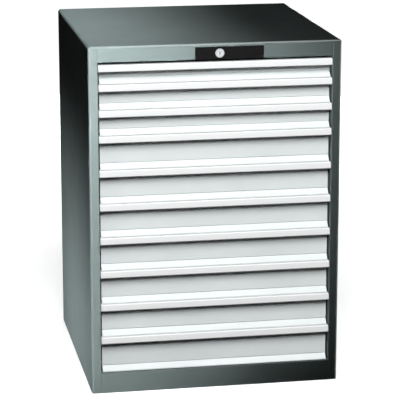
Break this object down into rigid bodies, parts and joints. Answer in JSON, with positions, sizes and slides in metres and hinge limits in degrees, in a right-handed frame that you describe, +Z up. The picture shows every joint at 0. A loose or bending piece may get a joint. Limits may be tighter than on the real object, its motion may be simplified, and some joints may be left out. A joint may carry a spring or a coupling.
{
  "type": "drawer cabinet",
  "caption": "Free-standing steel workshop cabinet with full-width drawers on telescopic runners, hook handles along their tops and one central lock in the header.",
  "frame": {"origin": "middle of the footprint, on the floor", "axes": "+X to the right seen from the front, +Y to the back, +Z up; the drawers open along -Y"},
  "size_m": [0.717, 0.73, 1],
  "materials": {
    "housing": "satin powder coat",
    "drawer_front": "satin powder coat",
    "handle": "white, satin",
    "tray": "satin powder coat",
    "galvanised_steel": "zinc plated",
    "lock_housing_plastic": "matte black",
    "lock_chrome": "polished nickel",
    "guide_plastic": "matte",
    "label_paper": "uncoated",
    "label_cover": "clear"
  },
  "bodies": {
    "cabinet": {"left_side_panel": "housing", "right_side_panel": "housing", "top_panel": "housing", "back_panel": "housing", "base_pan": "housing", "header_rail": "housing", "base_rail": "housing", "slotted_uprights": "galvanised_steel", "left_cabinet_rails": "galvanised_steel", "right_cabinet_rails": "galvanised_steel", "rear_cross_rails": "galvanised_steel", "lock_housing": "lock_housing_plastic", "lock_rosette": "lock_chrome", "lock_shaft_hanger": "galvanised_steel", "lock_bar_guides": "guide_plastic", "guide_screws": "galvanised_steel"},
    "lock": {"lock_cylinder": "lock_chrome", "lock_shaft": "galvanised_steel"},
    "lock_bar": {"lock_bar": "galvanised_steel"},
    "drawer_01": {"drawer_01_tray": "tray", "drawer_01_front": "drawer_front", "drawer_01_handle": "handle"},
    "carriage_01": {"drawer_01_carriage": "galvanised_steel"},
    "drawer_02": {"drawer_02_tray": "tray", "drawer_02_front": "drawer_front", "drawer_02_handle": "handle"},
    "carriage_02": {"drawer_02_carriage": "galvanised_steel"},
    "drawer_03": {"drawer_03_tray": "tray", "drawer_03_front": "drawer_front", "drawer_03_handle": "handle"},
    "carriage_03": {"drawer_03_carriage": "galvanised_steel"},
    "drawer_04": {"drawer_04_tray": "tray", "drawer_04_front": "drawer_front", "drawer_04_handle": "handle"},
    "carriage_04": {"drawer_04_carriage": "galvanised_steel"},
    "drawer_05": {"drawer_05_tray": "tray", "drawer_05_front": "drawer_front", "drawer_05_handle": "handle"},
    "carriage_05": {"drawer_05_carriage": "galvanised_steel"},
    "drawer_06": {"drawer_06_tray": "tray", "drawer_06_front": "drawer_front", "drawer_06_handle": "handle"},
    "carriage_06": {"drawer_06_carriage": "galvanised_steel"},
    "drawer_07": {"drawer_07_tray": "tray", "drawer_07_front": "drawer_front", "drawer_07_handle": "handle"},
    "carriage_07": {"drawer_07_carriage": "galvanised_steel"},
    "drawer_08": {"drawer_08_tray": "tray", "drawer_08_front": "drawer_front", "drawer_08_handle": "handle"},
    "carriage_08": {"drawer_08_carriage": "galvanised_steel"},
    "drawer_09": {"drawer_09_tray": "tray", "drawer_09_front": "drawer_front", "drawer_09_handle": "handle"},
    "carriage_09": {"drawer_09_carriage": "galvanised_steel"},
    "drawer_10": {"drawer_10_tray": "tray", "drawer_10_front": "drawer_front", "drawer_10_handle": "handle"},
    "carriage_10": {"drawer_10_carriage": "galvanised_steel"}
  },
  "joints": [
    {"name": "lock_bar_slide", "type": "slide", "parent": "cabinet", "child": "lock_bar", "axis": [0, 0, -1], "range_m": [0, 0.01125]},
    {"name": "lock_turn", "type": "hinge", "parent": "cabinet", "child": "lock", "pos_m": [0.009, 0, 0.973], "axis": [0, 1, 0], "range_deg": [0, 90]},
    {"name": "drawer_01_slide", "type": "slide", "parent": "cabinet", "child": "drawer_01", "axis": [0, -1, 0], "range_m": [0, 0.6]},
    {"name": "carriage_01_slide", "type": "slide", "parent": "cabinet", "child": "carriage_01", "axis": [0, -1, 0], "range_m": [0, 0.3]},
    {"name": "drawer_02_slide", "type": "slide", "parent": "cabinet", "child": "drawer_02", "axis": [0, -1, 0], "range_m": [0, 0.6]},
    {"name": "carriage_02_slide", "type": "slide", "parent": "cabinet", "child": "carriage_02", "axis": [0, -1, 0], "range_m": [0, 0.3]},
    {"name": "drawer_03_slide", "type": "slide", "parent": "cabinet", "child": "drawer_03", "axis": [0, -1, 0], "range_m": [0, 0.6]},
    {"name": "carriage_03_slide", "type": "slide", "parent": "cabinet", "child": "carriage_03", "axis": [0, -1, 0], "range_m": [0, 0.3]},
    {"name": "drawer_04_slide", "type": "slide", "parent": "cabinet", "child": "drawer_04", "axis": [0, -1, 0], "range_m": [0, 0.6]},
    {"name": "carriage_04_slide", "type": "slide", "parent": "cabinet", "child": "carriage_04", "axis": [0, -1, 0], "range_m": [0, 0.3]},
    {"name": "drawer_05_slide", "type": "slide", "parent": "cabinet", "child": "drawer_05", "axis": [0, -1, 0], "range_m": [0, 0.6]},
    {"name": "carriage_05_slide", "type": "slide", "parent": "cabinet", "child": "carriage_05", "axis": [0, -1, 0], "range_m": [0, 0.3]},
    {"name": "drawer_06_slide", "type": "slide", "parent": "cabinet", "child": "drawer_06", "axis": [0, -1, 0], "range_m": [0, 0.6]},
    {"name": "carriage_06_slide", "type": "slide", "parent": "cabinet", "child": "carriage_06", "axis": [0, -1, 0], "range_m": [0, 0.3]},
    {"name": "drawer_07_slide", "type": "slide", "parent": "cabinet", "child": "drawer_07", "axis": [0, -1, 0], "range_m": [0, 0.6]},
    {"name": "carriage_07_slide", "type": "slide", "parent": "cabinet", "child": "carriage_07", "axis": [0, -1, 0], "range_m": [0, 0.3]},
    {"name": "drawer_08_slide", "type": "slide", "parent": "cabinet", "child": "drawer_08", "axis": [0, -1, 0], "range_m": [0, 0.6]},
    {"name": "carriage_08_slide", "type": "slide", "parent": "cabinet", "child": "carriage_08", "axis": [0, -1, 0], "range_m": [0, 0.3]},
    {"name": "drawer_09_slide", "type": "slide", "parent": "cabinet", "child": "drawer_09", "axis": [0, -1, 0], "range_m": [0, 0.6]},
    {"name": "carriage_09_slide", "type": "slide", "parent": "cabinet", "child": "carriage_09", "axis": [0, -1, 0], "range_m": [0, 0.3]},
    {"name": "drawer_10_slide", "type": "slide", "parent": "cabinet", "child": "drawer_10", "axis": [0, -1, 0], "range_m": [0, 0.6]},
    {"name": "carriage_10_slide", "type": "slide", "parent": "cabinet", "child": "carriage_10", "axis": [0, -1, 0], "range_m": [0, 0.3]}
  ],
  "couplings": [
    {"joint": "lock_turn", "follows": "lock_bar_slide", "rad_per_m": 138.84},
    {"joint": "carriage_01_slide", "follows": "drawer_01_slide", "ratio": 0.5},
    {"joint": "carriage_02_slide", "follows": "drawer_02_slide", "ratio": 0.5},
    {"joint": "carriage_03_slide", "follows": "drawer_03_slide", "ratio": 0.5},
    {"joint": "carriage_04_slide", "follows": "drawer_04_slide", "ratio": 0.5},
    {"joint": "carriage_05_slide", "follows": "drawer_05_slide", "ratio": 0.5},
    {"joint": "carriage_06_slide", "follows": "drawer_06_slide", "ratio": 0.5},
    {"joint": "carriage_07_slide", "follows": "drawer_07_slide", "ratio": 0.5},
    {"joint": "carriage_08_slide", "follows": "drawer_08_slide", "ratio": 0.5},
    {"joint": "carriage_09_slide", "follows": "drawer_09_slide", "ratio": 0.5},
    {"joint": "carriage_10_slide", "follows": "drawer_10_slide", "ratio": 0.5}
  ]
}
